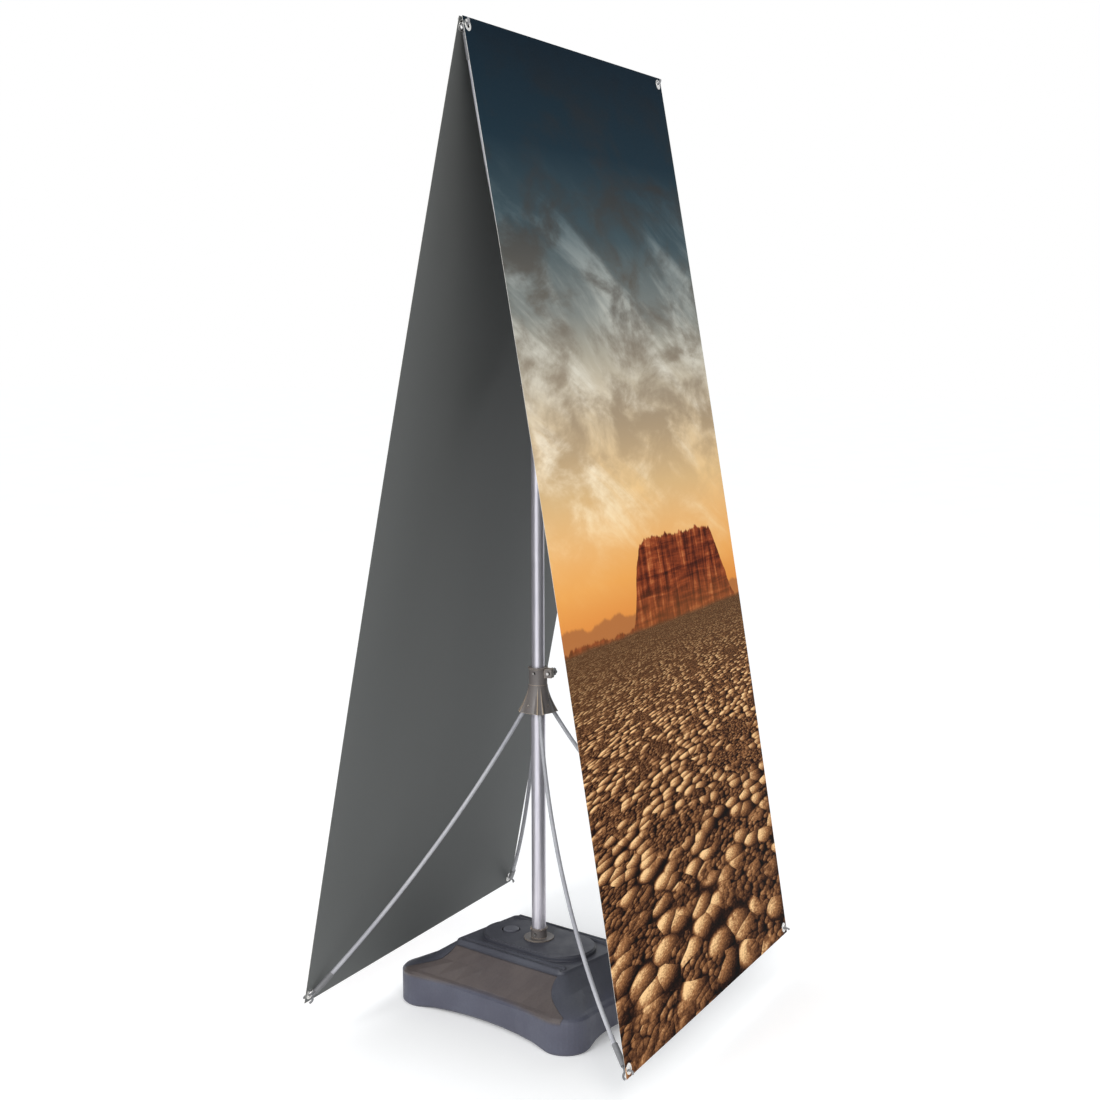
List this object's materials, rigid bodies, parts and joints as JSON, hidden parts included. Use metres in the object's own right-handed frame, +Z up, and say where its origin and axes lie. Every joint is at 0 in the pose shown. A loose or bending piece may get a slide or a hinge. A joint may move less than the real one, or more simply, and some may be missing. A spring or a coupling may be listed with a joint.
{
  "type": "x-banner stand",
  "caption": "Double-sided banner stand: two leaning banners hooked onto sprung rods that spread from a telescoping mast in a water-filled base.",
  "frame": {"origin": "on the floor at the mast's axis, on the flat face under the middle of the base", "axes": "+X along the banners' width to the right of someone facing the front banner, -Y towards the front, +Z up"},
  "size_m": [0.8018, 0.6844, 1.851],
  "materials": {
    "base_plastic": "moulded, dark slate grey, fine grain",
    "cap_plastic": "moulded, near-black grey",
    "hub_plastic": "moulded, taupe grey, slight sheen",
    "knob_plastic": "moulded, dark grey",
    "hook_plastic": "moulded, mid grey",
    "rod_coating": "glass-fibre rod, smooth light grey",
    "mast_metal": "satin drawn tube",
    "steel": "zinc-plated fasteners",
    "nickel": "bright nickel",
    "black_rubber": "soft matte",
    "banner_fabric": null
  },
  "bodies": {
    "stand": {"base_tank": "base_plastic", "mast_flange": "hub_plastic", "flange_screw": "steel", "lower_mast_tube": "mast_metal", "lower_tube_plug": "black_rubber", "lower_hub": "hub_plastic", "lower_hub_screw": "steel", "clamp_bolt": "steel", "front_left_pin": "steel", "front_right_pin": "steel", "rear_left_pin": "steel", "rear_right_pin": "steel", "front_banner": "banner_fabric", "rear_banner": "banner_fabric"},
    "mast": {"upper_mast_tube": "mast_metal", "mast_bush": "black_rubber", "mast_top_cap": "black_rubber", "upper_hub": "hub_plastic", "upper_hub_screw": "steel", "top_left_pin": "steel", "top_right_pin": "steel"},
    "cap_seal": {"cap_seal": "black_rubber"},
    "filler_cap": {"filler_cap": "cap_plastic"},
    "clamp_washer": {"clamp_washer": "steel"},
    "clamp_knob": {"clamp_knob": "knob_plastic"},
    "front_left_arm": {"front_left_knuckle": "hub_plastic", "front_left_rod": "rod_coating", "front_left_sleeve": "hook_plastic", "front_left_tines": "hook_plastic", "low_front_left_eyelet": "nickel"},
    "front_right_arm": {"front_right_knuckle": "hub_plastic", "front_right_rod": "rod_coating", "front_right_sleeve": "hook_plastic", "front_right_tines": "hook_plastic", "low_front_right_eyelet": "nickel"},
    "rear_left_arm": {"rear_left_knuckle": "hub_plastic", "rear_left_rod": "rod_coating", "rear_left_sleeve": "hook_plastic", "rear_left_tines": "hook_plastic", "low_rear_left_eyelet": "nickel"},
    "rear_right_arm": {"rear_right_knuckle": "hub_plastic", "rear_right_rod": "rod_coating", "rear_right_sleeve": "hook_plastic", "rear_right_tines": "hook_plastic", "low_rear_right_eyelet": "nickel"},
    "top_left_arm": {"top_left_knuckle": "hub_plastic", "top_left_rod": "rod_coating", "top_left_sleeve": "hook_plastic", "top_left_tines": "hook_plastic", "top_front_left_eyelet": "nickel", "top_rear_left_eyelet": "nickel"},
    "top_right_arm": {"top_right_knuckle": "hub_plastic", "top_right_rod": "rod_coating", "top_right_sleeve": "hook_plastic", "top_right_tines": "hook_plastic", "top_front_right_eyelet": "nickel", "top_rear_right_eyelet": "nickel"}
  },
  "joints": [
    {"name": "mast_slide", "type": "slide", "parent": "stand", "child": "mast", "axis": [0, 0, 1], "range_m": [-0.4, 0], "deforming": ["front_banner", "rear_banner"]},
    {"name": "front_left_fold", "type": "hinge", "parent": "stand", "child": "front_left_arm", "pos_m": [-0.01741, -0.01174, 0.6093], "axis": [0.5592, -0.829, 0], "range_deg": [0, 5]},
    {"name": "front_right_fold", "type": "hinge", "parent": "stand", "child": "front_right_arm", "pos_m": [0.01174, -0.01741, 0.6093], "axis": [0.829, 0.5592, 0], "range_deg": [0, 5]},
    {"name": "rear_left_fold", "type": "hinge", "parent": "stand", "child": "rear_left_arm", "pos_m": [-0.01174, 0.01741, 0.6093], "axis": [-0.829, -0.5592, 0], "range_deg": [0, 5]},
    {"name": "rear_right_fold", "type": "hinge", "parent": "stand", "child": "rear_right_arm", "pos_m": [0.01741, 0.01174, 0.6093], "axis": [-0.5592, 0.829, 0], "range_deg": [0, 5]},
    {"name": "top_left_fold", "type": "hinge", "parent": "mast", "child": "top_left_arm", "pos_m": [-0.02065, -0.00384, 1.225], "axis": [-0.1829, 0.9831, 0], "range_deg": [0, 10]},
    {"name": "top_right_fold", "type": "hinge", "parent": "mast", "child": "top_right_arm", "pos_m": [0.02065, -0.00384, 1.225], "axis": [-0.1829, -0.9831, 0], "range_deg": [0, 10]},
    {"name": "cap_lift", "type": "slide", "parent": "stand", "child": "cap_seal", "axis": [0, 0, 1], "range_m": [0, 0.006]},
    {"name": "cap_turn", "type": "hinge", "parent": "cap_seal", "child": "filler_cap", "pos_m": [0.01602, 0.07225, 0.126], "axis": [0, 0, 1], "range_deg": [0, 720]},
    {"name": "knob_travel", "type": "slide", "parent": "stand", "child": "clamp_washer", "axis": [0.9976, 0.0698, 0], "range_m": [0, 0.001]},
    {"name": "knob_turn", "type": "hinge", "parent": "clamp_washer", "child": "clamp_knob", "pos_m": [0.0092, -0.02408, 0.6728], "axis": [0.9976, 0.0698, 0], "range_deg": [0, 360]}
  ],
  "couplings": [
    {"joint": "cap_turn", "follows": "cap_lift", "rad_per_m": 2094.4},
    {"joint": "knob_turn", "follows": "knob_travel", "rad_per_m": 6283.2}
  ]
}
